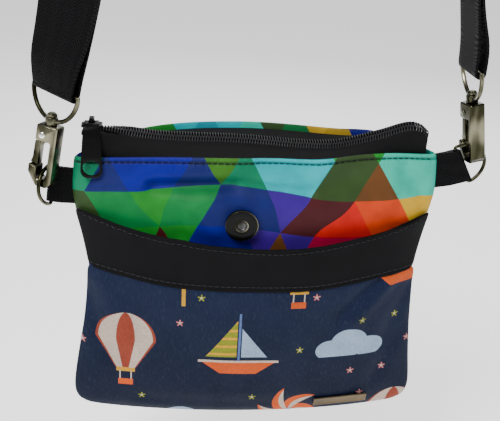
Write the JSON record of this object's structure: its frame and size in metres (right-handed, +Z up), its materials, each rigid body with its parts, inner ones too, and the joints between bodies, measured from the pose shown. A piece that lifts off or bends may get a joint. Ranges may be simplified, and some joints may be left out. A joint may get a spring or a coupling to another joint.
{
  "type": "crossbody bag",
  "caption": "Small flat zipped crossbody pouch with a front slip pocket, a round snap and a webbing strap on swivel hooks, hanging from its strap.",
  "frame": {"origin": "inside of the strap's highest point, in the middle of its width, where the bag hangs", "axes": "+Z up, +X towards the right of the front, -Y out of the front pocket"},
  "size_m": [0.2523, 0.0509, 0.7366],
  "materials": {
    "printed_cloth": "smooth printed cloth, multicoloured triangles",
    "dark_blue_cloth": "smooth printed cloth",
    "black_cloth": "matt woven cloth",
    "black_webbing": "herringbone webbing",
    "black_plastic": "nylon coil",
    "black_metal": "black lacquer",
    "nickel": "polished nickel plate",
    "bronze_metal": "satin aged plate"
  },
  "bodies": {
    "root": {"bag_body": "printed_cloth", "pocket_panel": "dark_blue_cloth", "pocket_band": "black_cloth", "zipper_tape_front": "black_cloth", "zipper_tape_back": "black_cloth", "zipper_coil": "black_plastic", "zipper_slider": "black_metal", "magnetic_snap": "black_metal", "label_plate": "bronze_metal", "side_tab_left": "black_webbing", "side_tab_right": "black_webbing", "tab_ring_left": "nickel", "tab_ring_right": "nickel", "hook_body_left": "nickel", "hook_body_right": "nickel", "strap_ring_left": "nickel", "strap_ring_right": "nickel", "strap": "black_webbing"},
    "pull": {"zipper_pull": "black_metal"},
    "gate_left": {"hook_gate_left": "nickel"},
    "gate_right": {"hook_gate_right": "nickel"}
  },
  "joints": [
    {"name": "pull_flip", "type": "hinge", "parent": "root", "child": "pull", "pos_m": [-0.102, 0.0022, -0.56613], "axis": [-1, 0, 0], "range_deg": [0, 90]},
    {"name": "gate_left_open", "type": "hinge", "parent": "root", "child": "gate_left", "pos_m": [-0.12526, -0.00536, -0.57082], "axis": [-0.4017, -0.9135, 0.0636], "range_deg": [0, 18], "stiffness_Nm_per_rad": 0.05, "springref_deg": -5.73},
    {"name": "gate_right_open", "type": "hinge", "parent": "root", "child": "gate_right", "pos_m": [0.10455, 0.00194, -0.55636], "axis": [-0.9609, -0.2419, -0.135], "range_deg": [0, 18], "stiffness_Nm_per_rad": 0.05, "springref_deg": -5.73}
  ]
}
